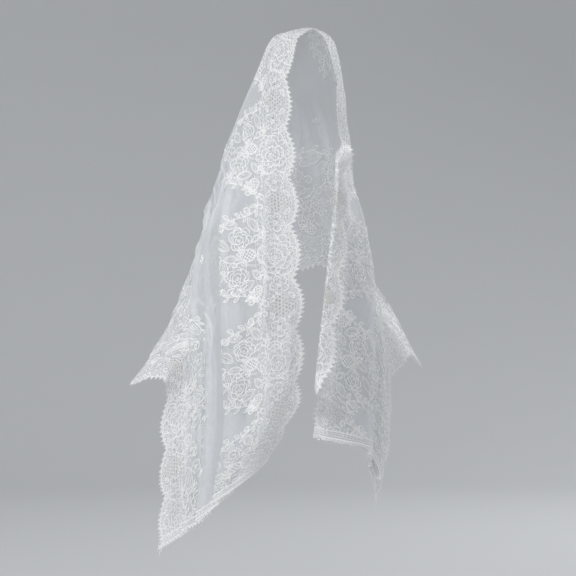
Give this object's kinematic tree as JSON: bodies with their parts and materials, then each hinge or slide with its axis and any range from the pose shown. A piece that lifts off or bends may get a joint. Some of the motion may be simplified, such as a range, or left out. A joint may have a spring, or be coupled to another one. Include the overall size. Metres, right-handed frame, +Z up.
{
  "type": "lace shawl draped over a head",
  "caption": "Long translucent lace shawl with scalloped eyelash edges, worn over the head and hanging open at the front to past the hips.",
  "frame": {"origin": "on the inside of the cloth at the crown of the head that holds the shawl up", "axes": "+Z up; the wearer faces -Y; +X to the right of someone who looks at the wearer's face"},
  "size_m": [0.5265, 0.3154, 0.917],
  "materials": {
    "net": "fine translucent white net",
    "lace": "matte white thread"
  },
  "bodies": {
    "root": {"hood_stretch": "net", "left_stretch": "net", "right_stretch": "net", "left_end_trim": "lace", "right_end_trim": "lace", "front_edge_lashes": "lace", "back_edge_lashes": "lace"}
  },
  "joints": []
}
